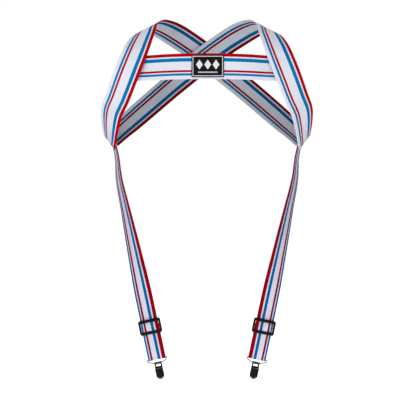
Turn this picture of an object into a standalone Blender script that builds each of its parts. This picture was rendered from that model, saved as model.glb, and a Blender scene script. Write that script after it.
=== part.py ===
"""Striped elastic shoulder harness suspenders with two clip-on leg straps.

Two wide straps go over the shoulders, cross on the back and are sewn together under the arms.
A chest band joins them in front. A narrower leg strap hangs from each underarm seam, runs
through a tri-glide slider, round a wire ring and back up to the slider's centre bar.
A mitten clip hangs on each ring. +X is the viewer's right, the front faces -Y, +Z is up.
The origin is midway between the shoulder crests, on the level of the webbing's underside there.
"""
import math

import bmesh
import bpy
import numpy as np
from mathutils import Matrix, Vector

MM = 0.001

# Driving dimensions, in millimetres.
CHEST_WIDTH = 50.0  # shoulder straps
BAND_WIDTH = 48.5  # the same elastic, narrower where it is stretched across the chest
LEG_WIDTH = 35.0
WEB_THICK = 1.5
CLEARANCE = 0.35  # between solids that touch on the real object
SEGMENT = 9.0  # length of one facet of webbing

LABEL_SIZE = (61.0, 42.0, 0.9)

LEG_LEAN_DEG = 11.87  # inward lean of the hanging leg
LEG_DEPTH = -12.0  # Y of the leg's line
RING_BAR = Vector((-97.9, LEG_DEPTH, -665.5))  # top bar of the left ring
STRAP_SKEW = -20.0  # slant of a strap's back end across its width
LEG_SKEW = 13.0  # slant of the leg's sewn end across its width
LEG_END = 34.0  # the leg's own layer ends this far above the ring's bar
LOOP_TOP = 42.0
LOOP_BACK_TOP = 24.0
TAIL_END = 42.0

SLIDER_CENTRE = 64.0  # above the ring's bar
SLIDER_SIZE = (44.0, 29.0)
SLIDER_BAR = 5.6
SLIDER_RAIL = 4.0
SLIDER_FRONT = (-3.5, -1.1)  # depth range of the bars in front of the webbing
CENTRE_BAR = (2.95, 4.55)  # depth range of the centre bar behind it

WIRE_R = 1.0
RING_BAR_DEPTH = 4.0  # the ring hangs this far behind the leg's own layer
RING_HALF_WIDTH = 19.2
RING_LOW_HALF = 8.2  # half of the straight lower bar
RING_DROP = 8.4  # lower bar below the top bar

CLIP_WIDTH = 15.0
CLIP_BOTTOM = -40.0
CLIP_CORNER_R = 6.5  # the back plate's two lower corners
CURL_INNER_R = 1.35
PLATE_THICK = 0.8
PIVOT_HEIGHT = -20.5
PIVOT_DEPTH = -2.0  # in front of the ring's bars
PIN_R = 0.65
PIN_HALF_LENGTH = 8.6

COLOURS = {
    "webbing": (0.80, 0.82, 0.90, 0.0, 0.85),
    "label": (0.02, 0.02, 0.025, 0.0, 0.7),
    "slider": (0.02, 0.02, 0.022, 0.0, 0.3),
    "ring": (0.55, 0.55, 0.56, 1.0, 0.2),
    "clip": (0.12, 0.12, 0.13, 1.0, 0.25),
    "pin": (0.5, 0.5, 0.5, 1.0, 0.3),
    "pad": (0.05, 0.05, 0.05, 0.0, 0.6),
}


# ---------------------------------------------------------------- helpers
def clear_scene():
    for obj in list(bpy.data.objects):
        bpy.data.objects.remove(obj, do_unlink=True)


def material(name):
    found = bpy.data.materials.get(name)
    if found:
        return found
    red, green, blue, metallic, roughness = COLOURS[name]
    made = bpy.data.materials.new(name)
    made.use_nodes = True
    shader = made.node_tree.nodes["Principled BSDF"]
    shader.inputs["Base Color"].default_value = (red, green, blue, 1.0)
    shader.inputs["Metallic"].default_value = metallic
    shader.inputs["Roughness"].default_value = roughness
    return made


def add_object(name, bm, look, parent=None, smooth=False):
    bmesh.ops.recalc_face_normals(bm, faces=bm.faces)
    mesh = bpy.data.meshes.new(name)
    bm.to_mesh(mesh)
    bm.free()
    mesh.transform(Matrix.Scale(MM, 4))
    if smooth:
        mesh.shade_smooth()
        mesh.set_sharp_from_angle(angle=math.radians(40))
    mesh.materials.append(material(look))
    obj = bpy.data.objects.new(name, mesh)
    bpy.context.scene.collection.objects.link(obj)
    obj.parent = parent
    return obj


def add_empty(name, place, turn=0.0, parent=None):
    """An empty at a joint; its place is in millimetres, and it turns about Y."""
    empty = bpy.data.objects.new(name, None)
    bpy.context.scene.collection.objects.link(empty)
    empty.parent = parent
    empty.location = Vector(place) * MM
    empty.rotation_euler = (0.0, turn, 0.0)
    return empty


def unit(rows):
    return rows / np.linalg.norm(rows, axis=-1, keepdims=True)


def smooth_route(stations, step):
    """Rows read at even steps from a smooth curve through the stations."""
    rows = np.array(stations, float)
    gaps = np.linalg.norm(np.diff(rows[:, :3], axis=0), axis=1)
    knots = np.concatenate([[0.0], np.cumsum(gaps)])
    slopes = np.gradient(rows, knots, axis=0)
    fine = []
    for i, gap in enumerate(gaps):
        t = np.linspace(0.0, 1.0, 24, endpoint=i == len(gaps) - 1)[:, None]
        h00, h10 = 2 * t**3 - 3 * t**2 + 1, t**3 - 2 * t**2 + t
        h01, h11 = 3 * t**2 - 2 * t**3, t**3 - t**2
        fine.append(h00 * rows[i] + h10 * gap * slopes[i] + h01 * rows[i + 1] + h11 * gap * slopes[i + 1])
    fine = np.concatenate(fine)
    along = np.concatenate([[0.0], np.cumsum(np.linalg.norm(np.diff(fine[:, :3], axis=0), axis=1))])
    even = np.linspace(0.0, along[-1], max(2, round(along[-1] / step)) + 1)
    return np.stack([np.interp(even, along, column) for column in fine.T], axis=1)


def web_frames(stations, step=SEGMENT):
    """Centres, width directions and facings along a webbing route."""
    rows = smooth_route(stations, step)
    centre = rows[:, :3]
    along = unit(np.gradient(centre, axis=0))
    side = unit(np.cross(along, unit(rows[:, 3:6])))
    facing = np.cross(side, along)
    return centre, side, facing


def ribbon(stations, width, thick=WEB_THICK, step=SEGMENT, skew=(0.0, 0.0)):
    """A closed strip of webbing along a route; skew slants its first and last ends across the width."""
    centre, side, facing = web_frames(stations, step)
    slants = {
        0: unit(centre[0] - centre[1]) * skew[0] / 2,
        len(centre) - 1: unit(centre[-1] - centre[-2]) * skew[1] / 2,
    }
    bm = bmesh.new()
    rings = []
    for i, (c, s, f) in enumerate(zip(centre, side, facing)):
        across, deep = s * width / 2, f * thick / 2
        across = across + slants.get(i, Vector())
        corners = (c - across - deep, c + across - deep, c + across + deep, c - across + deep)
        rings.append([bm.verts.new(corner) for corner in corners])
    for low, high in zip(rings, rings[1:]):
        for i in range(4):
            bm.faces.new((low[i], low[(i + 1) % 4], high[(i + 1) % 4], high[i]))
    bm.faces.new(rings[0][::-1])
    bm.faces.new(rings[-1])
    return bm


def box(low, high):
    bm = bmesh.new()
    low, high = Vector(low), Vector(high)
    bmesh.ops.create_cube(bm, size=1.0)
    for v in bm.verts:
        v.co = Vector((low[i] if v.co[i] < 0 else high[i] for i in range(3)))
    return bm


def extrude_outline(points, low, high, place):
    """A prism: place(u, v, w) puts outline point (u, v) at height w."""
    bm = bmesh.new()
    bottom = [bm.verts.new(place(u, v, low)) for u, v in points]
    top = [bm.verts.new(place(u, v, high)) for u, v in points]
    count = len(points)
    for i in range(count):
        j = (i + 1) % count
        bm.faces.new((bottom[i], bottom[j], top[j], top[i]))
    bm.faces.new(bottom[::-1])
    bm.faces.new(top)
    return bm


def arc(centre, radius, start_deg, end_deg, steps):
    angles = [math.radians(start_deg + (end_deg - start_deg) * i / steps) for i in range(steps + 1)]
    return [(centre[0] + radius * math.cos(a), centre[1] + radius * math.sin(a)) for a in angles]


def rounded_rectangle(width, height, radius, steps=4, centre=(0.0, 0.0)):
    points = []
    for sx, sy, start in ((1, 1, 0), (-1, 1, 90), (-1, -1, 180), (1, -1, 270)):
        corner = (centre[0] + sx * (width / 2 - radius), centre[1] + sy * (height / 2 - radius))
        points += arc(corner, radius, start, start + 90, steps)
    return points


def apply_boolean(obj, bm, operation):
    """Cuts or joins a shape given in the object's own millimetres."""
    tool = add_object("tool", bm, "clip")
    tool.matrix_world = Matrix.Identity(4)
    keep = obj.matrix_basis.copy()
    parent, obj.parent = obj.parent, None
    obj.matrix_basis = Matrix.Identity(4)
    modifier = obj.modifiers.new("cut", "BOOLEAN")
    modifier.operation = operation
    modifier.object = tool
    bpy.context.view_layer.update()
    result = bpy.data.meshes.new_from_object(obj.evaluated_get(bpy.context.evaluated_depsgraph_get()))
    obj.modifiers.clear()
    old, obj.data = obj.data, result
    bpy.data.meshes.remove(old)
    bpy.data.objects.remove(tool, do_unlink=True)
    obj.parent = parent
    obj.matrix_basis = keep


def tube(path, radius, sides, closed):
    """A round bar along points in the XZ plane at one depth."""
    bm = bmesh.new()
    count = len(path)
    rings = []
    for i, point in enumerate(path):
        before = path[i - 1] if closed or i else path[i]
        after = path[(i + 1) % count] if closed or i < count - 1 else path[i]
        along = (Vector(after) - Vector(before)).normalized()
        across = along.cross(Vector((0, 1, 0))).normalized()
        ring = []
        for k in range(sides):
            a = 2 * math.pi * k / sides
            offset = across * math.cos(a) * radius + Vector((0, 1, 0)) * math.sin(a) * radius
            ring.append(bm.verts.new(Vector(point) + offset))
        rings.append(ring)
    pairs = list(zip(rings, rings[1:])) + ([(rings[-1], rings[0])] if closed else [])
    for low, high in pairs:
        for k in range(sides):
            j = (k + 1) % sides
            bm.faces.new((low[k], low[j], high[j], high[k]))
    if not closed:
        bm.faces.new(rings[0][::-1])
        bm.faces.new(rings[-1])
    return bm


# ---------------------------------------------------------------- webbing routes
def mirror_route(stations):
    return [(-x, y, z, -fx, fy, fz) for x, y, z, fx, fy, fz in stations]


def strap_route(back_shift):
    """Left strap: from the left underarm seam, over the shoulder, to the right underarm seam.

    Each station is a point on the webbing's centreline and the way its outer face looks.
    """
    return [
        (-190.7, -11, -242.4, -0.88, -0.44, -0.20),
        (-188.5, -38, -212, -0.65, -0.75, -0.12),
        (-183.5, -62, -186.5, -0.41, -0.91, -0.05),
        (-171.3, -85, -162, -0.27, -0.96, 0.00),
        (-152.9, -107, -118, -0.16, -0.98, 0.10),
        (-134.7, -99, -71, -0.14, -0.88, 0.46),
        (-124.5, -68, -42, -0.28, -0.60, 0.75),
        (-113.8, 0, -17, -0.46, -0.05, 0.88),
        (-101.0, 30, -11, -0.38, 0.30, 0.88),
        (-82.0, 66, -14, -0.12, 0.80, 0.58),
        (-52.0, 95 + back_shift, -28, 0.0, 0.98, 0.18),
        (-1.0, 110 + back_shift, -62.5, 0.02, 0.995, 0.10),
        (56.6, 93 + back_shift, -111.5, -0.04, 0.96, -0.25),
        (109.8, 53, -161, 0.06, 0.86, -0.50),
        (153.9, 17, -203.3, -0.02, 0.81, -0.58),
        (172.0, 3.0, -221.5, -0.14, 0.74, -0.66),
        (186.4, -8.4, -238.0, -0.28, 0.62, -0.73),
    ]


def band_route():
    half = [
        (35, -120.2, -104.0, 0.02, -1.0, 0.0),
        (80, -116, -105.0, 0.12, -0.98, 0.06),
        (115, -106, -106.2, 0.22, -0.97, 0.10),
        (150, -98.5, -106.9, 0.22, -0.97, 0.14),
        (160, -96, -107.1, 0.24, -0.96, 0.14),
    ]
    return mirror_route(half[::-1]) + [(0, -120.5, -103.8, 0.0, -1.0, 0.0)] + half


def leg_axis():
    """The left leg's upward direction."""
    lean = math.radians(LEG_LEAN_DEG)
    return Vector((-math.sin(lean), 0.0, math.cos(lean)))


def leg_route():
    """Left leg from the underarm seam down to its lower end, twisting to face the front."""
    up = leg_axis()
    rows = [
        (-180.5, LEG_DEPTH + 0.5, -251.0, -0.965, -0.26, -0.10),
        (-177.0, LEG_DEPTH, -264.0, -0.96, -0.27, -0.12),
    ]
    for height, turn_deg in ((360, 63), (300, 52), (240, 36), (180, 20), (145, 7), (120, 0), (90, 0)):
        point = RING_BAR + up * height
        turn = math.radians(turn_deg)
        rows.append((point.x, point.y, point.z, -math.sin(turn), -math.cos(turn), 0.0))
    point = RING_BAR + up * LEG_END
    rows.append((point.x, point.y, point.z, 0.0, -1.0, 0.0))
    return rows


# ---------------------------------------------------------------- harness
def build_harness():
    left = strap_route(back_shift=6.0)
    right = mirror_route(strap_route(back_shift=0.0))
    add_object("left_shoulder_strap", ribbon(left, CHEST_WIDTH, skew=(0.0, STRAP_SKEW)), "webbing")
    add_object("right_shoulder_strap", ribbon(right, CHEST_WIDTH, skew=(0.0, -STRAP_SKEW)), "webbing")
    add_object("chest_band", ribbon(band_route(), BAND_WIDTH, step=7.0), "webbing")
    width, height, thick = LABEL_SIZE
    front = -121.7 - CLEARANCE
    outline = rounded_rectangle(width, height, 1.5, 2, centre=(1.5, -103.8))
    label = extrude_outline(outline, front - thick, front, lambda u, v, w: (u, w, v))
    add_object("woven_label", label, "label")


# ---------------------------------------------------------------- leg hardware, in leg millimetres
def build_slider(side, parent):
    width, height = SLIDER_SIZE
    outline = rounded_rectangle(width, height, 4.0, 4, centre=(0, SLIDER_CENTRE))
    body = extrude_outline(outline, SLIDER_FRONT[0], CENTRE_BAR[1], lambda u, v, w: (u, w, v))
    frame = add_object(f"{side}_slider_frame", body, "slider", parent, smooth=True)
    inner = width - 2 * SLIDER_RAIL
    half = height / 2 - SLIDER_BAR
    window = rounded_rectangle(inner, 2 * half, 1.2, 3, centre=(0, SLIDER_CENTRE))
    front_cut = extrude_outline(window, -9, 9, lambda u, v, w: (u, w, v))
    apply_boolean(frame, front_cut, "DIFFERENCE")
    behind = box((-inner / 2, SLIDER_FRONT[1], SLIDER_CENTRE - 20), (inner / 2, 9, SLIDER_CENTRE + 20))
    apply_boolean(frame, behind, "DIFFERENCE")
    end = inner / 2 + SLIDER_RAIL / 2
    low, high = (-end, CENTRE_BAR[0], SLIDER_CENTRE - 1.8), (end, CENTRE_BAR[1] - 0.2, SLIDER_CENTRE + 1.8)
    apply_boolean(frame, box(low, high), "UNION")


def u_fold(depth, inner_r, front_top, back_top, height):
    """Side outline of webbing folded under a bar: straight front layer, half round, back layer."""
    outer_r = inner_r + WEB_THICK
    points = [(depth - outer_r, front_top)]
    points += arc((depth, height), outer_r, 180, 360, 8)
    points += [(depth + outer_r, back_top), (depth + inner_r, back_top)]
    points += arc((depth, height), inner_r, 360, 180, 8)
    points += [(depth - inner_r, front_top)]
    return points


def build_webbing_loops(side, parent):
    half = LEG_WIDTH / 2
    lay = lambda y, z, x: (x, y, z)
    inner = WIRE_R + CLEARANCE
    outline = u_fold(RING_BAR_DEPTH, inner, LOOP_TOP, LOOP_BACK_TOP, 0.0)
    add_object(f"{side}_ring_loop", extrude_outline(outline, -half, half, lay), "webbing", parent)
    middle = (CENTRE_BAR[0] + CENTRE_BAR[1]) / 2 - 0.1
    top = SLIDER_CENTRE + 1.8 + CLEARANCE
    front, back = CENTRE_BAR[0] - CLEARANCE, CENTRE_BAR[1] - 0.2 + CLEARANCE
    outline = [
        (front, SLIDER_CENTRE - 4), (front, top), (back, top), (back, TAIL_END),
        (back + WEB_THICK, TAIL_END), (back + WEB_THICK, top + 0.8), (middle, top + WEB_THICK),
        (front - WEB_THICK, top + 0.8), (front - WEB_THICK, SLIDER_CENTRE - 4),
    ]
    add_object(f"{side}_sewn_tail", extrude_outline(outline, -half, half, lay), "webbing", parent)


def build_ring(side, parent):
    """A bent wire: straight top bar, short ends, and sides that slope in to the lower bar."""
    half = arc((RING_HALF_WIDTH - 1.2, -1.3), 1.3, 90, 0, 4)
    half += arc((RING_HALF_WIDTH - 1.2, -3.0), 1.3, 0, -62, 4)
    half += arc((RING_LOW_HALF, 2.0 - RING_DROP), 2.0, -62, -90, 3)
    outline = half + [(-x, z) for x, z in half[::-1]]
    path = [(x, RING_BAR_DEPTH, z) for x, z in outline]
    add_object(f"{side}_wire_ring", tube(path, WIRE_R, 10, True), "ring", parent, smooth=True)


def clip_profile():
    """Side outline of the back plate: a curl round the ring's lower bar, then straight down."""
    outer_r = CURL_INNER_R + PLATE_THICK
    centre = (RING_BAR_DEPTH, -RING_DROP)
    points = arc(centre, outer_r, 230, 0, 14)[:-1]
    points += [(centre[0] + outer_r, centre[1]), (centre[0] + outer_r, CLIP_BOTTOM)]
    points += [(centre[0] + CURL_INNER_R, CLIP_BOTTOM), (centre[0] + CURL_INNER_R, centre[1])]
    points += arc(centre, CURL_INNER_R, 0, 230, 14)[1:]
    return points


def plate_outline(width, top, bottom, round_r):
    """A plate seen from the front, with rounded lower corners."""
    half = width / 2
    points = [(half, top), (-half, top)]
    points += arc((-half + round_r, bottom + round_r), round_r, 180, 270, 6)
    points += arc((half - round_r, bottom + round_r), round_r, 270, 360, 6)
    return points


def build_clip(side, parent):
    half = CLIP_WIDTH / 2
    pivot_y = RING_BAR_DEPTH + PIVOT_DEPTH
    plate_y = RING_BAR_DEPTH + CURL_INNER_R  # front face of the back plate
    across = lambda y, z, x: (x, y, z)
    facing = lambda u, v, w: (u, w, v)

    plate = add_object(
        f"{side}_clip_back_plate", extrude_outline(clip_profile(), -half, half, across), "clip", parent, True
    )
    window = rounded_rectangle(9.5, 4.0, 1.2, 3, centre=(0, -13.4))
    apply_boolean(plate, extrude_outline(window, plate_y - 2, plate_y + 3, facing), "DIFFERENCE")
    corner = [(half + 1, CLIP_BOTTOM - 1), (half + 1, CLIP_BOTTOM + CLIP_CORNER_R)]
    corner += arc((half - CLIP_CORNER_R, CLIP_BOTTOM + CLIP_CORNER_R), CLIP_CORNER_R, 0, -90, 8)
    corner += [(half - CLIP_CORNER_R, CLIP_BOTTOM - 1)]
    for waste in (corner, [(-u, v) for u, v in reversed(corner)]):
        apply_boolean(plate, extrude_outline(waste, plate_y - 2, plate_y + 3, facing), "DIFFERENCE")
    for sign in (-1, 1):
        low, high = sorted((sign * (half - 0.9), sign * half))
        ear = [(plate_y + 0.3, PIVOT_HEIGHT - 3.5), (plate_y + 0.3, PIVOT_HEIGHT + 3.5)]
        ear += arc((pivot_y, PIVOT_HEIGHT), 1.9, 90, 270, 8)
        apply_boolean(plate, extrude_outline(ear, low, high, across), "UNION")
    hole = extrude_outline(arc((pivot_y, PIVOT_HEIGHT), PIN_R + CLEARANCE, 0, 330, 11), -9, 9, across)
    apply_boolean(plate, hole, "DIFFERENCE")

    pin = arc((pivot_y, PIVOT_HEIGHT), PIN_R, 0, 337.5, 15)
    pin_bm = extrude_outline(pin, -PIN_HALF_LENGTH, PIN_HALF_LENGTH, across)
    add_object(f"{side}_pivot_pin", pin_bm, "pin", parent, True)

    pad_low, pad_high = CLIP_BOTTOM + 1.0, -26.0
    back_pad = plate_outline(12.0, pad_high, pad_low, 5.0)
    pad_bm = extrude_outline(back_pad, plate_y - CLEARANCE - 1.6, plate_y - CLEARANCE, facing)
    add_object(f"{side}_back_pad", pad_bm, "pad", parent)

    jaw_y = plate_y - CLEARANCE - 1.6 - CLEARANCE - 1.4 - CLEARANCE  # back face of the front jaw
    front_pad = extrude_outline(back_pad, jaw_y + CLEARANCE, jaw_y + CLEARANCE + 1.4, facing)
    add_object(f"{side}_front_pad", front_pad, "pad", parent)

    shoulder, neck = PIVOT_HEIGHT - 5.4, PIVOT_HEIGHT - 0.5
    blade = plate_outline(12.0, shoulder, CLIP_BOTTOM + 1.6, 5.0)
    jaw = blade[:1] + [(4.6, shoulder), (4.6, neck), (-4.6, neck), (-4.6, shoulder)] + blade[1:]
    jaw_obj = add_object(
        f"{side}_front_jaw", extrude_outline(jaw, jaw_y - PLATE_THICK, jaw_y, facing), "clip", parent, True
    )
    knuckle_r = 1.7
    knuckle = arc((pivot_y, PIVOT_HEIGHT), knuckle_r, 0, 337.5, 15)
    apply_boolean(jaw_obj, extrude_outline(knuckle, -3.5, 3.5, across), "UNION")
    bore = extrude_outline(arc((pivot_y, PIVOT_HEIGHT), PIN_R + CLEARANCE, 0, 330, 11), -9, 9, across)
    apply_boolean(jaw_obj, bore, "DIFFERENCE")

    lever_front = jaw_y - PLATE_THICK - 2.2
    lever_top = PIVOT_HEIGHT + 1.9
    shell = plate_outline(CLIP_WIDTH + 1.0, lever_top, CLIP_BOTTOM - 0.3, 7.6)
    lever_bm = extrude_outline(shell, lever_front, lever_front + 1.0, facing)
    lever = add_object(f"{side}_clip_lever", lever_bm, "clip", parent, True)
    for sign in (-1, 1):
        low, high = sorted((sign * 5.0, sign * 6.0))
        ear = [(lever_front + 0.5, PIVOT_HEIGHT + 1.7), (lever_front + 0.5, PIVOT_HEIGHT - 4.0)]
        ear += arc((pivot_y, PIVOT_HEIGHT), 1.7, 270, 450, 8)
        apply_boolean(lever, extrude_outline(ear, low, high, across), "UNION")
    bore = extrude_outline(arc((pivot_y, PIVOT_HEIGHT), PIN_R + CLEARANCE, 0, 330, 11), -9, 9, across)
    apply_boolean(lever, bore, "DIFFERENCE")


# ---------------------------------------------------------------- both sides
def build_leg(side):
    sign = 1.0 if side == "left" else -1.0
    route = leg_route() if side == "left" else mirror_route(leg_route())
    webbing = ribbon(route, LEG_WIDTH, skew=(sign * LEG_SKEW, 0.0))
    add_object(f"{side}_leg_webbing", webbing, "webbing")
    place = Vector((sign * RING_BAR.x, RING_BAR.y, RING_BAR.z))
    line = add_empty(f"{side}_leg_line", place, -sign * math.radians(LEG_LEAN_DEG))
    build_slider(side, line)
    build_webbing_loops(side, line)
    build_ring(side, line)
    build_clip(side, line)


def main():
    clear_scene()
    build_harness()
    for side in ("left", "right"):
        build_leg(side)


main()
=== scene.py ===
"""Looks for the striped elastic shoulder harness suspenders with two clip-on leg straps."""
import math
import random

import bmesh
import bpy
import numpy as np
from mathutils import Matrix, Vector


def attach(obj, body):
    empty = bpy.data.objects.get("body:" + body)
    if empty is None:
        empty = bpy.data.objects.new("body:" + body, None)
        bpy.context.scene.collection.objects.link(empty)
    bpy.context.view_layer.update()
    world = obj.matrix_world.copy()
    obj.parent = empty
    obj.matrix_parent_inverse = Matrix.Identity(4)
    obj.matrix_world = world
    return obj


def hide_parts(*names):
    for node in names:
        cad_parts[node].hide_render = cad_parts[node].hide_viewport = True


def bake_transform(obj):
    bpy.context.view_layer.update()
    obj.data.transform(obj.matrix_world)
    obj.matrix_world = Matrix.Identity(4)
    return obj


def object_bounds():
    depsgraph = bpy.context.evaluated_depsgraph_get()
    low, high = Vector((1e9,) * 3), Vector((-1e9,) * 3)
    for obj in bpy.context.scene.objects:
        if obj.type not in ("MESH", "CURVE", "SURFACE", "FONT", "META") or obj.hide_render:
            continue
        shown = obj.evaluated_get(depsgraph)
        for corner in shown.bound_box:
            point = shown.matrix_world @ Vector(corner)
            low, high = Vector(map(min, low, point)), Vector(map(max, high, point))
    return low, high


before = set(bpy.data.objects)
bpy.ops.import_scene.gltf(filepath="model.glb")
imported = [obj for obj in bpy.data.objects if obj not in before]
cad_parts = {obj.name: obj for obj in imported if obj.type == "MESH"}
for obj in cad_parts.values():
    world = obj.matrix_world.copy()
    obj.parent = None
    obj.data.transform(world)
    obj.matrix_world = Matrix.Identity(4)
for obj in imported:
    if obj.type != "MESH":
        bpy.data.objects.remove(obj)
cad_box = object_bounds()

MM = 0.001
SIDES = {"left": -1.0, "right": 1.0}  # the side's sign along X

# Webbing, in millimetres.
CHEST_WIDTH = 50.0  # the two shoulder straps
BAND_WIDTH = 48.5  # the same elastic, narrower where it is stretched across the chest
LEG_WIDTH = 35.0
LEG_STRETCHED_WIDTH = LEG_WIDTH - 0.6  # above the slider, where the leg carries the pull
WEB_THICK = 1.5
LEG_THICK = 1.2  # the softer leg elastic
STRAP_SKEW = 20.0  # how far a shoulder strap's back end slants at its underarm seam
STRAP_BOW = 0.25  # crown of the shoulder straps over the body
LEG_SKEW = 13.0  # how far a leg strap's top end slants at the same seam
SKEW_REACH = 26.0  # length over which a slanted end evens out
ROUTE_STEP = 2.5  # spacing of the rows along a strip
COLUMNS = 24  # facets across a strip
SELVEDGE_TURNS = (60.0, 30.0, 0.0, -30.0, -60.0)  # degrees, the points round one edge of a strip

# Stitching, in millimetres.
BAND_JOIN_HEIGHTS = (-129.0, -86.0)  # where a strap covers the chest band's end
BAND_JOIN_DEPTH = -60.0  # the same stretch lies further forward than this
SEAM_ROWS = (3, 5)  # rows from a strap's end that carry its seam
SEAM_SLANT = 8.0  # how far the back seam's ends lie along the strap from its middle
CROSSING_ROWS = 7  # rows either side of the middle of the crossing

# Leg hardware, in millimetres above the ring's top bar, along the leg.
LEG_LEAN = math.radians(11.87)
RING_BAR = Vector((-97.9, -12.0, -665.5))
SLIDER_CENTRE = 64.0
RING_DEPTH = 4.0  # the ring's bar lies this far behind the leg's line
LEG_END = 40.0  # where the leg's own layer stops, behind the slider

# Label, in millimetres.
LABEL_CENTRE = (1.5, -103.8)
LABEL_SIZE = (61.0, 42.0)
LABEL_FRONT = -122.95  # Y of the label's face
LOZENGE_SIZE = (13.0, 18.5)
LOZENGE_PITCH = 15.6
LOZENGE_RISE = 2.8  # above the label's middle
BAR_SIZE = (37.0, 2.6)
BAR_DROP = 11.6  # below the label's middle

# Clip lever, in millimetres from the ring's bar, in the leg's own frame.
LEVER_HALF_WIDTH = 8.0
LEVER_TOP = -18.6
LEVER_LOW = -40.3
LEVER_FRONT = -2.3
LEVER_THICK = 0.7
LEVER_CROWN = 1.6  # how far its edges curl back
LEVER_ROUND = 7.8  # radius of its lower end
LIP_HEIGHT = 3.5  # the stretch at its lower end that kicks forward
LIP_KICK = 0.9
RIM_INSET = 1.7  # the bright bead that paints the highlight on the lever's lower rim lies this far inside the lower edge


# ---------------------------------------------------------------- materials
class Nodes:
    """Short calls for building one material's node tree."""

    def __init__(self, name):
        self.material = bpy.data.materials.new(name)
        self.material.use_nodes = True
        self.tree = self.material.node_tree
        self.shader = self.tree.nodes["Principled BSDF"]

    def node(self, kind, **settings):
        made = self.tree.nodes.new(kind)
        for key, value in settings.items():
            setattr(made, key, value)
        return made

    def feed(self, socket, value):
        if isinstance(value, bpy.types.NodeSocket):
            self.tree.links.new(value, socket)
        else:
            socket.default_value = value

    def attribute(self, name):
        return self.node("ShaderNodeAttribute", attribute_name=name).outputs["Fac"]

    def math(self, operation, a, b=0.0):
        made = self.node("ShaderNodeMath", operation=operation)
        self.feed(made.inputs[0], a)
        self.feed(made.inputs[1], b)
        return made.outputs[0]

    def noise(self, scale, detail=2.0, vector=None):
        made = self.node("ShaderNodeTexNoise")
        made.inputs["Scale"].default_value = scale
        made.inputs["Detail"].default_value = detail
        if vector is None:
            vector = self.node("ShaderNodeTexCoord").outputs["Object"]
        self.feed(made.inputs["Vector"], vector)
        return made.outputs["Fac"]

    def ramp(self, factor, stops, interpolation="LINEAR"):
        made = self.node("ShaderNodeValToRGB")
        made.color_ramp.interpolation = interpolation
        elements = made.color_ramp.elements
        while len(elements) < len(stops):
            elements.new(0.5)
        for element, (position, colour) in zip(elements, stops):
            element.position = position
            element.color = (*colour, 1.0)
        self.feed(made.inputs["Fac"], factor)
        return made.outputs["Color"]

    def mix(self, factor, a, b, blend="MIX"):
        made = self.node("ShaderNodeMix", data_type="RGBA", blend_type=blend)
        for socket, value in zip((made.inputs[0], made.inputs[6], made.inputs[7]), (factor, a, b)):
            if isinstance(value, tuple):
                value = (*value, 1.0)
            self.feed(socket, value)
        return made.outputs[2]

    def scale_to(self, value, low, high):
        """Turns a 0 to 1 value into low to high."""
        return self.math("ADD", self.math("MULTIPLY", value, high - low), low)

    def bump(self, height, strength, distance):
        made = self.node("ShaderNodeBump")
        made.inputs["Strength"].default_value = strength
        made.inputs["Distance"].default_value = distance
        self.feed(made.inputs["Height"], height)
        self.feed(self.shader.inputs["Normal"], made.outputs["Normal"])

    def set(self, **values):
        for key, value in values.items():
            socket = self.shader.inputs[key.replace("_", " ")]
            if isinstance(value, tuple):
                value = (*value, 1.0)
            self.feed(socket, value)


# Colours, as linear red, green and blue.
WHITE = (0.80, 0.815, 0.905)
RED = (0.47, 0.0015, 0.006)
THIN_RED = (0.46, 0.0015, 0.012)
BLUE = (0.0008, 0.19, 0.47)
LEG_WHITE = (0.76, 0.75, 0.885)  # the leg elastic's colours: a darker, pinker white and darker stripes than the chest elastic's
LEG_RED = (0.33, 0.0008, 0.005)
LEG_THIN_RED = (0.27, 0.0008, 0.008)
LEG_BLUE = (0.0006, 0.13, 0.39)
REVERSE_SHADE_WHITE = (0.665, 0.67, 0.68)  # share of the front's white seen on the elastic's reverse, as painted shade: the reverse faces away from the lights
REVERSE_SHADE_DYED = (0.43, 0.50, 0.54)  # and of its dyed stripes, darkened further as painted shade
# Where each stripe starts, from 0 at the edge with the wide red stripe to 1 at the other.
CHEST_STRIPES = [
    (0.0, RED), (0.125, WHITE), (0.176, BLUE), (0.316, WHITE),
    (0.645, THIN_RED), (0.728, WHITE), (0.771, BLUE), (0.858, WHITE),
]
LEG_STRIPES = [
    (0.0, LEG_RED), (0.21, LEG_WHITE), (0.29, LEG_BLUE), (0.45, LEG_WHITE),
    (0.73, LEG_THIN_RED), (0.84, LEG_WHITE), (0.89, LEG_BLUE), (0.985, LEG_WHITE),
]
RIB_PITCH = 0.0013  # metres between the elastic's cross ribs
CORD_PITCH = 0.0011  # metres between its lengthwise cords
RAGGED = 0.0025  # how far a stripe's edge strays from pick to pick, as a share of the width


def shaded_reverse_of(colour):
    """A stripe's colour on the webbing's reverse, darkened as painted shade."""
    share = REVERSE_SHADE_WHITE if min(colour) > 0.5 else REVERSE_SHADE_DYED
    return tuple(c * part for c, part in zip(colour, share))


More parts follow.
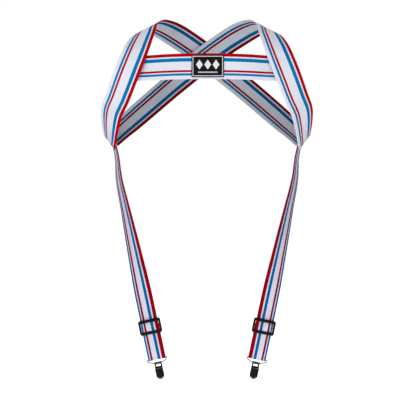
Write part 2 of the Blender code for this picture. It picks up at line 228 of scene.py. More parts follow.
def webbing_material(name, width, pattern):
    """Woven elastic: lengthwise coloured stripes, fine cross ribs, and a reverse darkened with
    painted shade.
    """
    n = Nodes(name)
    across, along, reverse = n.attribute("across"), n.attribute("along"), n.attribute("reverse")
    pick = n.math("FLOOR", n.math("DIVIDE", along, RIB_PITCH))
    stagger = n.node("ShaderNodeTexWhiteNoise", noise_dimensions="1D")
    n.feed(stagger.inputs["W"], pick)
    ragged = n.math("ADD", across, n.scale_to(stagger.outputs["Value"], -RAGGED, RAGGED))
    front = n.ramp(ragged, pattern, "CONSTANT")
    # back holds the stripes darkened with painted shade, for the reverse face
    back = n.ramp(ragged, [(at, shaded_reverse_of(colour)) for at, colour in pattern], "CONSTANT")
    stripes = n.mix(reverse, front, back)
    rib = n.math("SINE", n.math("MULTIPLY", along, 2 * math.pi / RIB_PITCH))
    cord = n.math("SINE", n.math("MULTIPLY", across, 2 * math.pi * width * MM / CORD_PITCH))
    weave = n.math("ADD", n.math("MULTIPLY", rib, 0.35), n.math("MULTIPLY", cord, 0.25))
    weave = n.math("ADD", weave, 0.5)
    shade = n.mix(weave, (0.90, 0.90, 0.91), (1.0, 1.0, 1.0))
    woven = n.mix(1.0, stripes, shade, "MULTIPLY")
    mottle = n.ramp(n.noise(45.0, 4.0), [(0.3, (0.95, 0.95, 0.955)), (0.7, (1.0, 1.0, 1.0))])
    colour = n.mix(1.0, woven, mottle, "MULTIPLY")
    n.set(Base_Color=colour, Roughness=0.9, Specular_IOR_Level=0.0)
    fuzz = n.math("MULTIPLY", n.noise(4000.0, 2.0), 0.3)
    n.bump(n.math("ADD", weave, fuzz), 0.45, 0.00022)
    return n.material


def thread_material(name, colour):
    """Twisted sewing thread: fine diagonal bands."""
    n = Nodes(name)
    twist = n.node("ShaderNodeTexWave", wave_type="BANDS", bands_direction="DIAGONAL")
    n.feed(twist.inputs["Vector"], n.node("ShaderNodeTexCoord").outputs["Object"])
    twist.inputs["Scale"].default_value = 900.0
    pale = tuple(min(1.0, c * 1.1 + 0.01) for c in colour)
    n.set(Base_Color=n.mix(twist.outputs["Fac"], colour, pale), Roughness=0.6)
    n.bump(twist.outputs["Fac"], 0.3, 0.0001)
    return n.material


def satin_material(name, colour, contrast):
    """Damask label cloth: fine diagonal satin weave."""
    n = Nodes(name)
    place = n.node("ShaderNodeTexCoord").outputs["Object"]
    weave = n.node("ShaderNodeTexWave", wave_type="BANDS", bands_direction="DIAGONAL")
    n.feed(weave.inputs["Vector"], place)
    weave.inputs["Scale"].default_value = 700.0
    pale = tuple(min(1.0, c + contrast) for c in colour)
    blotch = n.mix(n.noise(120.0, 3.0), colour, pale)
    n.set(Base_Color=n.mix(weave.outputs["Fac"], blotch, pale), Roughness=0.55)
    n.set(Specular_IOR_Level=0.06)
    n.bump(weave.outputs["Fac"], 0.3, 0.00015)
    return n.material


def moulded_material(name, colour, rough_low, rough_high):
    """Moulded plastic: faint orange peel and handling marks in the gloss."""
    n = Nodes(name)
    wear = n.noise(180.0, 5.0)
    worn = tuple(c * 2.0 for c in colour)
    n.set(Base_Color=n.mix(n.noise(60.0, 3.0), colour, worn))
    n.set(Roughness=n.scale_to(wear, rough_low, rough_high), Specular_IOR_Level=0.13)
    n.bump(n.noise(900.0, 2.0), 0.15, 0.0001)
    return n.material


def plated_material(name, colour, edge_wear_and_highlight_colour, rough_low, rough_high):
    """Plated sheet metal: brushed variation, and brighter metal on edges, partly rubbed wear and
    partly painted highlight.
    """
    n = Nodes(name)
    place = n.node("ShaderNodeTexCoord").outputs["Object"]
    stretch = n.node("ShaderNodeMapping")
    stretch.inputs["Scale"].default_value = (1.0, 1.0, 9.0)
    n.feed(stretch.inputs["Vector"], place)
    brushed = n.noise(700.0, 3.0, stretch.outputs["Vector"])
    # Brighter colour on sharp edges: rubbed wear, and also a painted highlight along them.
    edge = n.node("ShaderNodeNewGeometry").outputs["Pointiness"]
    edge_wear_and_highlight = n.ramp(edge, [(0.53, (0.0, 0.0, 0.0)), (0.60, (1.0, 1.0, 1.0))])
    edge_wear_and_highlight = n.math("MULTIPLY", edge_wear_and_highlight, n.noise(350.0, 3.0))
    n.set(Base_Color=n.mix(edge_wear_and_highlight, colour, edge_wear_and_highlight_colour), Metallic=1.0)
    n.set(Coat_Weight=0.16, Coat_Roughness=0.07)
    n.set(Roughness=n.scale_to(brushed, rough_low, rough_high))
    n.bump(brushed, 0.08, 0.00008)
    return n.material


LOOKS = {
    "chest_webbing": webbing_material("striped_chest_elastic", CHEST_WIDTH, CHEST_STRIPES),
    "leg_webbing": webbing_material("striped_leg_elastic", LEG_WIDTH, LEG_STRIPES),
    "white_thread": thread_material("white_thread", (0.74, 0.74, 0.80)),
    "grey_thread": thread_material("charcoal_thread", (0.10, 0.10, 0.11)),
    "label_field": satin_material("black_label_satin", (0.0035, 0.0035, 0.004), 0.004),
    "label_pale": satin_material("pale_label_satin", (0.72, 0.72, 0.74), 0.06),
    "label_grey": satin_material("grey_label_satin", (0.42, 0.42, 0.44), 0.05),
    "slider": moulded_material("black_moulded_plastic", (0.001, 0.001, 0.0014), 0.2, 0.34),
    "ring": plated_material("bright_plated_wire", (0.10, 0.10, 0.105), (0.5, 0.5, 0.5), 0.10, 0.2),
    "clip": plated_material(
        "black_nickel_plate", (0.004, 0.004, 0.0043), (0.3, 0.3, 0.3), 0.18, 0.3
    ),
    # a bright plated look for the bead that paints the highlight on the lever's lower rim
    "clip_painted_highlight": plated_material(
        "painted_highlight_nickel", (0.26, 0.26, 0.26), (0.6, 0.6, 0.6), 0.2, 0.3
    ),
    "pin": plated_material("plated_rivet_steel", (0.50, 0.50, 0.52), (0.8, 0.8, 0.8), 0.2, 0.35),
    "pad": moulded_material("moulded_grip_plastic", (0.03, 0.03, 0.034), 0.45, 0.65),
}


# ---------------------------------------------------------------- mesh helpers
def add_piece(name, bm, look, body=None, replaced=(), smooth_deg=40.0):
    """Turns a bmesh into a named piece with its look, body and the CAD nodes it replaces."""
    bmesh.ops.recalc_face_normals(bm, faces=bm.faces)
    mesh = bpy.data.meshes.new(name)
    bm.to_mesh(mesh)
    bm.free()
    mesh.shade_smooth()
    mesh.set_sharp_from_angle(angle=math.radians(smooth_deg))
    mesh.materials.append(LOOKS[look])
    piece = bpy.data.objects.new(name, mesh)
    bpy.context.scene.collection.objects.link(piece)
    if body:
        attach(piece, body)
    if replaced:
        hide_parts(*replaced)
    return piece


def unit(rows):
    return rows / np.linalg.norm(rows, axis=-1, keepdims=True)


def smooth_route(stations, step):
    """Rows read at even steps from a smooth curve through the stations."""
    rows = np.array(stations, float)
    gaps = np.linalg.norm(np.diff(rows[:, :3], axis=0), axis=1)
    knots = np.concatenate([[0.0], np.cumsum(gaps)])
    slopes = np.gradient(rows, knots, axis=0)
    fine = []
    for i, gap in enumerate(gaps):
        t = np.linspace(0.0, 1.0, 24, endpoint=i == len(gaps) - 1)[:, None]
        h00, h10 = 2 * t**3 - 3 * t**2 + 1, t**3 - 2 * t**2 + t
        h01, h11 = 3 * t**2 - 2 * t**3, t**3 - t**2
        here = h00 * rows[i] + h10 * gap * slopes[i]
        fine.append(here + h01 * rows[i + 1] + h11 * gap * slopes[i + 1])
    return even_steps(np.concatenate(fine), step)


def even_steps(rows, step):
    """The same path read at even steps along its first three columns."""
    gaps = np.linalg.norm(np.diff(rows[:, :3], axis=0), axis=1)
    along = np.concatenate([[0.0], np.cumsum(gaps)])
    even = np.linspace(0.0, along[-1], max(2, round(along[-1] / step)) + 1)
    return np.stack([np.interp(even, along, column) for column in rows.T], axis=1)


def web_frames(stations):
    """Centres, width directions and facings along a webbing route."""
    rows = smooth_route(stations, ROUTE_STEP)
    rows[:, 3:6] = unit(rows[:, 3:6])
    for _ in range(24):  # elastic under tension turns gradually
        rows[1:-1, 3:6] = (rows[:-2, 3:6] + 2 * rows[1:-1, 3:6] + rows[2:, 3:6]) / 4
    for _ in range(8):  # and its path has no corners
        rows[1:-1, :3] = (rows[:-2, :3] + 2 * rows[1:-1, :3] + rows[2:, :3]) / 4
    centre = rows[:, :3]
    along = unit(np.gradient(centre, axis=0))
    side = unit(np.cross(along, unit(rows[:, 3:6])))
    return centre, side, np.cross(side, along)


def section(width, thick):
    """Cross-section of webbing: (across, depth, reverse) round a strip with rounded selvedges."""
    half, deep = width / 2, thick / 2
    flat = np.linspace(-(half - deep), half - deep, COLUMNS + 1)
    turn = np.radians(SELVEDGE_TURNS)
    points = [(x, deep, 0.0) for x in flat]
    points += [(half - deep + deep * math.cos(a), deep * math.sin(a), float(a < 0)) for a in turn]
    points += [(x, -deep, 1.0) for x in flat[::-1]]
    points += [
        (-(half - deep) - deep * math.cos(a), deep * math.sin(a), float(a < 0)) for a in turn[::-1]
    ]
    return np.array(points)


def webbing(name, frames, width, thick, red_side, look, skew=(0.0, 0.0), bow=0.0):
    """A strip of striped webbing. red_side is the sign of the edge with the wide red stripe.

    skew slants its two ends across the width; bow crowns its face, in millimetres.
    """
    centre, side, facing = frames
    steps = np.linalg.norm(np.diff(centre, axis=0), axis=1)
    along = np.concatenate([[0.0], np.cumsum(steps)])
    direction = unit(np.gradient(centre, axis=0))
    outline = section(width, thick)
    half = width / 2
    bm = bmesh.new()
    values = {key: [] for key in ("across", "along", "reverse")}
    rings = []
    for i in range(len(centre)):
        first = max(0.0, 1 - along[i] / SKEW_REACH) * skew[0] / 2
        last = max(0.0, 1 - (along[-1] - along[i]) / SKEW_REACH) * skew[1] / 2
        ring = []
        for x, deep, back in outline:
            slide = (last - first) * x / half
            crown = bow * (1 - (x / half) ** 2)
            place = centre[i] + side[i] * x + facing[i] * (deep + crown) + direction[i] * slide
            ring.append(bm.verts.new(place * MM))
            values["across"].append((1 - red_side * x / half) / 2)
            values["along"].append((along[i] + slide) * MM)
            values["reverse"].append(back)
        rings.append(ring)
    count = len(outline)
    for low, high in zip(rings, rings[1:]):
        for j in range(count):
            k = (j + 1) % count
            bm.faces.new((low[j], low[k], high[k], high[j]))
    edge = len(SELVEDGE_TURNS)
    under = 2 * COLUMNS + edge + 1  # the reverse's point below point 0
    for ring in (rings[0], rings[-1]):
        for j in range(COLUMNS):  # the cut end, closed by strips between face and reverse
            bm.faces.new((ring[j], ring[j + 1], ring[under - 1 - j], ring[under - j]))
        bm.faces.new(ring[COLUMNS:COLUMNS + edge + 2])
        bm.faces.new([ring[0], *ring[:under - 1:-1]])
    piece = add_piece(name, bm, look)
    for key, row in values.items():
        piece.data.attributes.new(key, "FLOAT", "POINT").data.foreach_set("value", row)
    return piece


def arc(centre, radius, start_deg, end_deg, steps):
    angles = [math.radians(start_deg + (end_deg - start_deg) * i / steps) for i in range(steps + 1)]
    return [(centre[0] + radius * math.cos(a), centre[1] + radius * math.sin(a)) for a in angles]


def rounded_rectangle(width, height, radius, steps=5):
    x, z = width / 2 - radius, height / 2 - radius
    corners = (((x, z), 0), ((-x, z), 90), ((-x, -z), 180), ((x, -z), 270))
    return [p for centre, turn in corners for p in arc(centre, radius, turn, turn + 90, steps)]


def stepped_slab(loops, place):
    """A closed solid from matching outlines: each loop is (points, depth)."""
    bm = bmesh.new()
    rings = [[bm.verts.new(place(u, v, depth)) for u, v in points] for points, depth in loops]
    for low, high in zip(rings, rings[1:]):
        for i in range(len(low)):
            j = (i + 1) % len(low)
            bm.faces.new((low[i], low[j], high[j], high[i]))
    bm.faces.new(rings[0][::-1])
    bm.faces.new(rings[-1])
    return bm


def tube(path, radius, sides, closed):
    """Round wire along a path of Vectors, which lies in one plane."""
    bm = bmesh.new()
    rows = np.array(path)
    if closed:
        along = unit(np.roll(rows, -1, axis=0) - np.roll(rows, 1, axis=0))
    else:
        along = unit(np.gradient(rows, axis=0))
    normal = unit(np.cross(rows[1] - rows[0], rows[len(rows) // 3] - rows[0]))
    rings = []
    for point, direction in zip(rows, along):
        outward = unit(np.cross(direction, normal))
        turns = np.linspace(0, 2 * math.pi, sides, endpoint=False)
        ring = [point + (outward * math.cos(t) + normal * math.sin(t)) * radius for t in turns]
        rings.append([bm.verts.new(p) for p in ring])
    pairs = list(zip(rings, rings[1:] + rings[:1])) if closed else list(zip(rings, rings[1:]))
    for low, high in pairs:
        for i in range(sides):
            j = (i + 1) % sides
            bm.faces.new((low[i], low[j], high[j], high[i]))
    if not closed:
        bm.faces.new(rings[0][::-1])
        bm.faces.new(rings[-1])
    return bm


def stitches(name, runs, look, body, pitch=3.2, length=2.3, radius=0.27):
    """Lockstitch lines: each run is (points, normals) on a surface, in millimetres."""
    bm = bmesh.new()
    dice = random.Random(name)
    for points, normals in runs:
        rows = even_steps(np.hstack([np.array(points), np.array(normals)]), pitch)
        along = unit(np.gradient(rows[:, :3], axis=0))
        for row, direction in zip(rows[:-1], along[:-1]):
            normal = unit(row[3:6])
            across = np.cross(direction, normal)
            tilt = direction + across * dice.uniform(-0.06, 0.06)
            rings = []
            for t in (0.0, 0.12, 0.3, 0.5, 0.7, 0.88, 1.0):
                lift = radius * (math.sin(math.pi * t) * 1.3 - 0.35)
                thick = radius * max(0.35, math.sin(math.pi * t) ** 0.4)
                middle = row[:3] + tilt * length * t + normal * lift
                turns = np.linspace(0, 2 * math.pi, 8, endpoint=False)
                ring = [middle + (across * math.cos(a) + normal * math.sin(a)) * thick for a in turns]
                rings.append([bm.verts.new(p * MM) for p in ring])
            for low, high in zip(rings, rings[1:]):
                for i in range(8):
                    j = (i + 1) % 8
                    bm.faces.new((low[i], low[j], high[j], high[i]))
            bm.faces.new(rings[0][::-1])
            bm.faces.new(rings[-1])
    return add_piece(name, bm, look, body)


# ---------------------------------------------------------------- harness
def strap_route(back_shift):
    """Left strap: from the left underarm seam, over the shoulder, to the right underarm seam.

    Each station is a point on the webbing's centreline and the way its outer face looks.
    """
    return [
        (-190.7, -11, -242.4, -0.88, -0.44, -0.20),
        (-188.5, -38, -212, -0.65, -0.75, -0.12),
        (-183.5, -62, -186.5, -0.41, -0.91, -0.05),
        (-171.3, -85, -162, -0.27, -0.96, 0.00),
        (-152.9, -107, -118, -0.16, -0.98, 0.10),
        (-134.7, -99, -71, -0.14, -0.88, 0.46),
        (-124.5, -68, -42, -0.28, -0.60, 0.75),
        (-113.8, 0, -17, -0.46, -0.05, 0.88),
        (-101.0, 30, -11, -0.38, 0.30, 0.88),
        (-82.0, 66, -14, -0.12, 0.80, 0.58),
        (-52.0, 95 + back_shift, -28, 0.0, 0.98, 0.18),
        (-1.0, 110 + back_shift, -62.5, 0.02, 0.995, 0.10),
        (56.6, 93 + back_shift, -111.5, -0.04, 0.96, -0.25),
        (109.8, 53, -161, 0.06, 0.86, -0.50),
        (153.9, 17, -203.3, -0.02, 0.81, -0.58),
        (172.0, 3.0, -221.5, -0.14, 0.74, -0.66),
        (186.4, -8.4, -238.0, -0.28, 0.62, -0.73),
    ]


def mirror_route(stations):
    """The same route on the other side."""
    return [(-x, y, z, -nx, ny, nz) for x, y, z, nx, ny, nz in stations]


def band_route():
    """Chest band, left to right; its ends lie behind the shoulder straps."""
    half = [
        (35, -120.2, -104.0, 0.02, -1.0, 0.0),
        (80, -116, -105.0, 0.12, -0.98, 0.06),
        (115, -106, -106.2, 0.22, -0.97, 0.10),
        (150, -98.5, -106.9, 0.22, -0.97, 0.14),
        (160, -96, -107.1, 0.24, -0.96, 0.14),
    ]
    return mirror_route(half[::-1]) + [(0, -120.5, -103.8, 0.0, -1.0, 0.0)] + half


def on_face(frames, rows, across):
    """Points and normals on a strap's outer face, across being -1 to 1 between its edges."""
    centre, side, facing = (part[rows] for part in frames)
    points = centre + side * across * CHEST_WIDTH / 2 + facing * WEB_THICK / 2
    return points, facing


def across_line(frames, row, start, end, slant):
    """A stitch line across the strip at one row; slant moves its ends along the strip."""
    centre, side, facing = frames[0][row], frames[1][row], frames[2][row]
    direction = unit(np.cross(facing, side))
    spots = np.linspace(start, end, 12)[:, None]
    points = centre + side * spots * CHEST_WIDTH / 2 + direction * spots * slant
    return points + facing * WEB_THICK / 2, np.repeat(facing[None], 12, axis=0)


def build_harness():
    """Shoulder straps, chest band, their stitching and the label."""
    straps = {
        "left": web_frames(strap_route(back_shift=6.0)),
        "right": web_frames(mirror_route(strap_route(back_shift=0.0))),
    }
    for name, frames in straps.items():
        sign = SIDES[name]
        strap = webbing(
            f"{name}_shoulder_strap_elastic", frames, CHEST_WIDTH, WEB_THICK, 1.0,
            "chest_webbing", skew=(0.0, sign * STRAP_SKEW), bow=STRAP_BOW,
        )
        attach(strap, "harness")
        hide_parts(f"{name}_shoulder_strap")
        heights = frames[0][:, 2]
        ahead = frames[0][:, 1] < BAND_JOIN_DEPTH
        low, high = BAND_JOIN_HEIGHTS
        rows = np.where(ahead & (heights > low) & (heights < high))[0]
        runs = [on_face(frames, rows, across) for across in (-0.74, 0.74)]
        stitches(f"{name}_band_end_stitching", runs, "white_thread", "harness")
        runs = [across_line(frames, row, -0.86, 0.86, 0.0) for row in SEAM_ROWS]
        stitches(f"{name}_front_seam_stitching", runs, "white_thread", "harness")
        last = len(frames[0]) - 1
        slant = sign * SEAM_SLANT
        runs = [across_line(frames, last - row, -0.8, 0.8, slant) for row in SEAM_ROWS]
        stitches(f"{name}_back_seam_stitching", runs, "white_thread", "harness")

    band = webbing(
        "chest_band_elastic", web_frames(band_route()), BAND_WIDTH, WEB_THICK, -1.0, "chest_webbing"
    )
    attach(band, "harness")
    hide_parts("chest_band")
    build_crossing_stitches(straps)
    build_label()


def build_crossing_stitches(straps):
    """A square of stitches where the straps cross, on the outside of the outer strap."""
    frames = straps["left"]
    middle = int(np.argmin(np.linalg.norm(frames[0][:, :3:2] - (0.0, -62.5), axis=1)))
    rows = np.arange(middle - CROSSING_ROWS, middle + CROSSING_ROWS + 1)
    runs = [on_face(frames, rows, across) for across in (-0.72, 0.72)]
    runs += [across_line(frames, row, -0.72, 0.72, 0.0) for row in (rows[0], rows[-1])]
    stitches("back_crossing_stitching", runs, "white_thread", "harness")


# ---------------------------------------------------------------- label
def build_label():
    """A black field with a raised border, three lozenges and a bar, sewn down all round."""
    width, height = LABEL_SIZE

    def place(u, v, depth):
        return Vector((LABEL_CENTRE[0] + u, LABEL_FRONT - depth, LABEL_CENTRE[1] + v)) * MM

    def ring(inset):
        return rounded_rectangle(width - 2 * inset, height - 2 * inset, max(0.4, 1.6 - inset * 0.4))

    loops = [(ring(0.0), -0.9), (ring(0.0), -0.25), (ring(0.35), 0.0), (ring(4.0), 0.0)]
    field = stepped_slab(loops, place)
    add_piece("woven_label_field", field, "label_field", "harness", ["woven_label"])

    bm = bmesh.new()  # the border's section: inset from the label's edge, and height
    shape = [(2.1, -0.1), (2.1, 0.14), (2.35, 0.24), (3.05, 0.24), (3.3, 0.14), (3.3, -0.1)]
    rings = [[bm.verts.new(place(u, v, depth)) for u, v in ring(inset)] for inset, depth in shape]
    for low, high in zip(rings, rings[1:] + rings[:1]):
        for i in range(len(low)):
            j = (i + 1) % len(low)
            bm.faces.new((low[i], low[j], high[j], high[i]))
    add_piece("woven_label_border", bm, "label_pale", "harness")

    def lozenge(shift, grow):
        w, h = LOZENGE_SIZE[0] / 2 + grow, LOZENGE_SIZE[1] / 2 + grow
        rise = LOZENGE_RISE
        return [(shift + w, rise), (shift, rise + h), (shift - w, rise), (shift, rise - h)]

    for i in (-1, 0, 1):
        full, eased = (lozenge(i * LOZENGE_PITCH, grow) for grow in (0.0, -0.35))
        bm = stepped_slab([(full, -0.1), (full, 0.12), (eased, 0.22)], place)
        add_piece(f"woven_label_lozenge_{i + 2}", bm, "label_pale", "harness")

    bar_width, bar_height = BAR_SIZE
    bar = [(u, v - BAR_DROP) for u, v in rounded_rectangle(bar_width, bar_height, 0.5)]
    small = [(u, v - BAR_DROP) for u, v in rounded_rectangle(bar_width - 0.6, bar_height - 0.6, 0.4)]
    loops = [(bar, -0.1), (bar, 0.1), (small, 0.2)]
    add_piece("woven_label_bar", stepped_slab(loops, place), "label_grey", "harness")

    corners = ring(0.95)
    points = [Vector(place(u, v, 0.02)) / MM for u, v in corners + corners[:1]]
    normals = [(0.0, -1.0, 0.0)] * len(points)
    stitches("woven_label_stitching", [(points, normals)], "grey_thread", "harness", 2.2, 1.6, 0.2)


# ---------------------------------------------------------------- legs
def leg_matrix(sign):
    """Leg millimetres (across, depth, height above the ring's bar) to metres."""
    place = Vector((-sign * RING_BAR.x, RING_BAR.y, RING_BAR.z))
    turn = Matrix.Rotation(sign * LEG_LEAN, 4, "Y")
    return Matrix.Scale(MM, 4) @ Matrix.Translation(place) @ turn


def leg_stations():
    """Left leg's own layer, from the underarm seam down to behind the slider."""
    up = Vector((-math.sin(LEG_LEAN), 0.0, math.cos(LEG_LEAN)))
    rows = [
        (-181.8, -11.5, -245.0, -0.965, -0.26, -0.10),
        (-177.0, -12.0, -264.0, -0.96, -0.27, -0.12),
    ]
    # Height above the ring's bar, and degrees the strap is turned away from the front there.
    twist = ((360, 66), (300, 56), (240, 42), (180, 26), (145, 11), (120, 2), (90, 0), (LEG_END, 0))
    for height, turn_deg in twist:
        point = RING_BAR + up * height
        turn = math.radians(turn_deg)
        depth = 0.9 * max(0.0, min(1.0, (200 - height) / 80))  # it passes behind the slider's bars
        rows.append((point.x, point.y + depth, point.z, -math.sin(turn), -math.cos(turn), 0.0))
    return rows


def loop_profile():
    """(depth, height) of the run below the slider, round the ring and back to the centre bar."""
    radius = 1.35 + LEG_THICK / 2
    bulge = ((13.0, -0.45), (9.5, -0.45), (7.0, -1.7), (4.0, -2.7), (0.0, -3.1))
    points = [(depth, SLIDER_CENTRE + rise) for rise, depth in bulge]
    points += [(depth, SLIDER_CENTRE - rise) for rise, depth in bulge[-2::-1]]
    points += [(-0.45, 36.0), (-0.4, 16.0), (RING_DEPTH - radius, 4.0)]
    points += [(RING_DEPTH + y, z) for y, z in arc((0.0, 0.0), radius, 180, 360, 12)]
    points += [(RING_DEPTH + radius, 4.0), (5.6, 24.0), (5.35, 64.5)]
    points += arc((3.65, 66.2), 1.75, 0, 180, 8)
    points += [(1.9, 60.0)]
    return points


def loop_frames(sign):
    """Centres, width directions and facings along the loop."""
    rows = np.array([(0.0, y, z) for y, z in loop_profile()])
    rows = even_steps(rows, 0.9)
    for _ in range(2):  # takes the corners off the listed points
        rows[1:-1] = (rows[:-2] + 2 * rows[1:-1] + rows[2:]) / 4
    along = unit(np.gradient(rows, axis=0))
    side = np.repeat(np.array([[-1.0, 0.0, 0.0]]), len(rows), axis=0)
    facing = np.cross(side, along)
    matrix = leg_matrix(sign)
    turn = np.array(matrix.to_3x3()) / MM
    shift = np.array(matrix.to_translation()) / MM
    return rows @ turn.T + shift, side @ turn.T, facing @ turn.T


def refined(name, nodes, look, body, bevel=0.3, segments=2):
    """A CAD piece with its hard edges rounded, for the finished look."""
    bm = bmesh.new()
    for node in nodes:
        bm.from_mesh(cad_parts[node].data)
    bmesh.ops.remove_doubles(bm, verts=bm.verts, dist=1e-6)
    bmesh.ops.dissolve_limit(bm, angle_limit=math.radians(2), verts=bm.verts, edges=bm.edges)
    sharp = [e for e in bm.edges if e.is_manifold and e.calc_face_angle() > math.radians(35)]
    bmesh.ops.bevel(
        bm, geom=sharp, offset=bevel * MM, segments=segments, profile=0.5,
        affect="EDGES", clamp_overlap=True,
    )
    return add_piece(name, bm, look, body, nodes, 30.0)


def ring_outline():
    """A shallow D: (across, height), with the clip's eye on its straight lowest run."""
    half = arc((18.0, -1.3), 1.3, 90, 0, 10)
    half += arc((18.0, -3.0), 1.3, 0, -62, 8)
    half += arc((8.2, -6.4), 2.0, -62, -90, 6)
    return half + [(-x, z) for x, z in half[::-1]]


def build_ring(side, matrix):
    """The bent wire ring that joins the strap's loop to the clip."""
    path = [matrix @ Vector((x, RING_DEPTH, z)) for x, z in ring_outline()]
    bm = tube(path, 1.0 * MM, 20, True)
    add_piece(f"{side}_bent_wire_ring", bm, "ring", f"{side}_ring", [f"{side}_wire_ring"])


def lever_lip(z):
    """How far the lever's lower end kicks forward at height z."""
    return -LIP_KICK * max(0.0, (LEVER_LOW + LIP_HEIGHT - z) / LIP_HEIGHT) ** 2


def lever_half_width(z):
    """Half the lever's width at height z: a round lower end and clipped top corners."""
    drop = max(0.0, LEVER_LOW + LEVER_ROUND - z)
    width = LEVER_HALF_WIDTH
    if drop > 0:
        width = math.sqrt(max(0.0, LEVER_ROUND**2 - drop**2)) + LEVER_HALF_WIDTH - LEVER_ROUND
    return max(width, 0.6) * min(1.0, 0.82 + (LEVER_TOP - z) / 6)


def lever_shell(matrix):
    """The lever's crowned sheet: an outer and an inner grid of points, joined round the rim."""
    bm = bmesh.new()
    columns, rows = 20, 26
    grids = []
    for back in (0.0, LEVER_THICK):
        grid = []
        for r in range(rows + 1):
            z = LEVER_TOP + (LEVER_LOW - LEVER_TOP) * math.sin(math.pi / 2 * r / rows)
            row = []
            for c in range(columns + 1):
                x = (-1 + 2 * c / columns) * lever_half_width(z)
                dish = LEVER_CROWN * (x / LEVER_HALF_WIDTH) ** 2 * min(1.0, (LEVER_TOP - z) / 8)
                depth = LEVER_FRONT + dish + lever_lip(z) + back
                row.append(bm.verts.new(matrix @ Vector((x, depth, z))))
            grid.append(row)
        grids.append(grid)
    for grid in grids:
        for a, b in zip(grid, grid[1:]):
            for i in range(columns):
                bm.faces.new((a[i], a[i + 1], b[i + 1], b[i]))
    rims = []
    for grid in grids:
        down = [row[-1] for row in grid[1:]]
        up = [row[0] for row in grid[-2:0:-1]]
        rims.append(grid[0] + down + grid[-1][-2::-1] + up)
    outer, inner = rims
    for i in range(len(outer)):
        j = (i + 1) % len(outer)
        bm.faces.new((outer[i], outer[j], inner[j], inner[i]))
    return bm


def build_lever(side, matrix):
    """The clip's front lever: a crowned stamped shell, a bright bead of painted highlight near its
    end, and two ears.
    """
    shell = lever_shell(matrix)
    add_piece(f"{side}_clip_lever_shell", shell, "clip", f"{side}_lever", [f"{side}_clip_lever"])

    # A bright tube just inside the lower rim: a painted highlight, not a part of the clip.
    path = []
    for x, z in arc((0.0, LEVER_LOW + LEVER_ROUND), LEVER_ROUND - RIM_INSET, 212, 328, 24):
        depth = LEVER_FRONT + LEVER_CROWN * (x / LEVER_HALF_WIDTH) ** 2 + lever_lip(z) - 0.15
        path.append(matrix @ Vector((x, depth, z)))
    highlight_bead = tube(path, 0.6 * MM, 10, False)
    add_piece(f"{side}_clip_lever_highlight_bead", highlight_bead, "clip_painted_highlight", f"{side}_lever")

    for index, x in enumerate((-5.5, 5.5)):
        ear = [(-1.4, -18.9), (-1.4, -24.5)] + arc((2.0, -20.5), 1.7, 270, 450, 10)
        shrunk = [(y + (0.3 - y) * 0.06, z + (-21.0 - z) * 0.06) for y, z in ear]
        loops = [(shrunk, -0.4), (ear, -0.25), (ear, 0.25), (shrunk, 0.4)]
        bm = stepped_slab(loops, lambda y, z, w, x=x: matrix @ Vector((x + w, y, z)))
        add_piece(f"{side}_clip_lever_ear_{index + 1}", bm, "clip", f"{side}_lever")


def build_leg(side):
    """One side's leg strap with its slider, loop, ring and clip."""
    sign = SIDES[side]
    matrix = leg_matrix(sign)
    stations = leg_stations() if side == "left" else mirror_route(leg_stations())
    leg = webbing(
        f"{side}_leg_elastic", web_frames(stations), LEG_STRETCHED_WIDTH, LEG_THICK, sign,
        "leg_webbing", skew=(-sign * LEG_SKEW, 0.0),
    )
    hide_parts(f"{side}_leg_webbing")
    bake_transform(leg)

    loop = webbing(
        f"{side}_leg_elastic_loop", loop_frames(sign), LEG_WIDTH, LEG_THICK, sign, "leg_webbing"
    )
    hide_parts(f"{side}_ring_loop", f"{side}_sewn_tail")
    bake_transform(loop)

    refined(f"{side}_triglide_slider", [f"{side}_slider_frame"], "slider", f"{side}_slider", 0.7, 4)
    build_ring(side, matrix)
    refined(f"{side}_clip_back", [f"{side}_clip_back_plate"], "clip", f"{side}_clip", 0.16)
    refined(f"{side}_clip_rivet", [f"{side}_pivot_pin"], "pin", f"{side}_clip", 0.2)
    refined(f"{side}_back_grip_pad", [f"{side}_back_pad"], "pad", f"{side}_clip", 0.25)
    refined(f"{side}_clip_jaw", [f"{side}_front_jaw"], "clip", f"{side}_jaw", 0.16)
    refined(f"{side}_front_grip_pad", [f"{side}_front_pad"], "pad", f"{side}_jaw", 0.25)
    build_lever(side, matrix)

    runs = []
    for height in (46.0, 49.0):
        points = [matrix @ Vector((x, 6.05, height)) / MM for x in np.linspace(-15.5, 15.5, 12)]
        runs.append((points, [(0.0, 1.0, 0.0)] * 12))
    stitches(f"{side}_tail_stitching", runs, "white_thread", f"{side}_slider")


# ---------------------------------------------------------------- studio
STUDIO_AMBIENT = 0.42
FLOOR_DROP = 0.05  # metres below the clips
FLOOR_REACH = 6.0
FLAG_SIDE = 0.55  # metres from the middle to each black flag, which keeps side light off the legs
FLAG_CORNERS = ((-0.5, -0.75), (0.5, -0.75), (0.5, -0.4), (-0.5, -0.4))
LIGHTS = (  # name, place in metres, size in metres, watts
    ("key_light", (-1.0, -2.0, 1.2), 1.6, 11.0),
    ("fill_light", (1.5, -2.7, 0.2), 1.6, 0.4),
    ("top_light", (0.0, -0.6, 1.8), 1.2, 7.5),
    ("strip_light", (-0.8, -2.6, -0.5), 0.3, 4.0),
)
CAMERA_PLACE = (0.002, -3.0, -0.371)
CAMERA_LENS = 132.3


def stage_sheet(name, corners, material):
    """One flat studio surface."""
    bm = bmesh.new()
    bm.faces.new([bm.verts.new(corner) for corner in corners])
    mesh = bpy.data.meshes.new(name)
    bm.to_mesh(mesh)
    bm.free()
    mesh.materials.append(material)
    sheet = bpy.data.objects.new(name, mesh)
    bpy.context.scene.collection.objects.link(sheet)
    return sheet


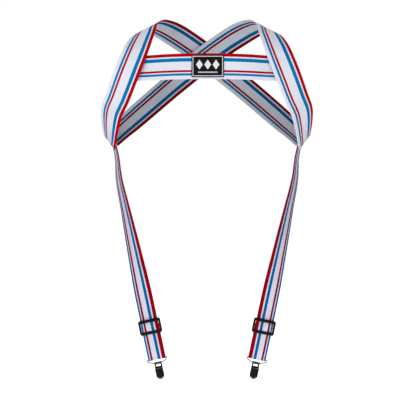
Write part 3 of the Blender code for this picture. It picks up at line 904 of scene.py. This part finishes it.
def build_surfaces():
    """A pale floor, and a black flag either side of the legs that the camera doesn't see."""
    pale = Nodes("pale_studio_floor")
    pale.set(Base_Color=(0.95, 0.95, 0.95), Roughness=0.9)
    pale.set(Emission_Color=(1.0, 1.0, 1.0), Emission_Strength=0.9)
    reach, floor_z = FLOOR_REACH, cad_box[0].z - FLOOR_DROP
    corners = ((-reach, -reach), (reach, -reach), (reach, reach), (-reach, reach))
    stage_sheet("studio_floor", [(x, y, floor_z) for x, y in corners], pale.material)

    black = Nodes("black_flag_cloth")
    black.set(Base_Color=(0.01, 0.01, 0.01), Roughness=0.9, Specular_IOR_Level=0.0)
    for side, sign in SIDES.items():
        corners = [(sign * FLAG_SIDE, y, z) for y, z in FLAG_CORNERS]
        flag = stage_sheet(f"studio_flag_{side}", corners, black.material)
        flag.visible_camera = False


def build_world():
    """Dim white light from all round, behind a backdrop that is seen as plain white."""
    world = bpy.data.worlds.new("studio")
    bpy.context.scene.world = world
    world.use_nodes = True
    background = world.node_tree.nodes["Background"]
    background.inputs["Color"].default_value = (1.0, 1.0, 1.0, 1.0)
    background.inputs["Strength"].default_value = STUDIO_AMBIENT
    seen = world.node_tree.nodes.new("ShaderNodeBackground")
    seen.inputs["Color"].default_value = (1.0, 1.0, 1.0, 1.0)
    seen.inputs["Strength"].default_value = 1.0
    ray = world.node_tree.nodes.new("ShaderNodeLightPath")
    choose = world.node_tree.nodes.new("ShaderNodeMixShader")
    link = world.node_tree.links.new
    link(ray.outputs["Is Camera Ray"], choose.inputs[0])
    link(background.outputs[0], choose.inputs[1])
    link(seen.outputs[0], choose.inputs[2])
    link(choose.outputs[0], world.node_tree.nodes["World Output"].inputs["Surface"])


def build_lights():
    """Area lights, all aimed at the middle of the object."""
    lo, hi = cad_box
    middle = (lo + hi) / 2
    for name, place, size, power in LIGHTS:
        data = bpy.data.lights.new(name, "AREA")
        data.size = size
        data.energy = power
        light = bpy.data.objects.new(name, data)
        light.location = place
        light.rotation_euler = (middle - light.location).to_track_quat("-Z", "Y").to_euler()
        bpy.context.scene.collection.objects.link(light)


def build_camera():
    """A long lens straight in front."""
    data = bpy.data.cameras.new("camera")
    data.lens = CAMERA_LENS
    data.sensor_width = 36.0
    data.clip_end = 50.0
    camera = bpy.data.objects.new("camera", data)
    camera.location = CAMERA_PLACE
    camera.rotation_euler = (math.radians(90), 0.0, 0.0)
    bpy.context.scene.collection.objects.link(camera)
    bpy.context.scene.camera = camera


build_camera()
build_harness()
for leg_side in SIDES:
    build_leg(leg_side)
build_surfaces()
build_world()
build_lights()
bpy.context.scene.view_settings.view_transform = "Standard"
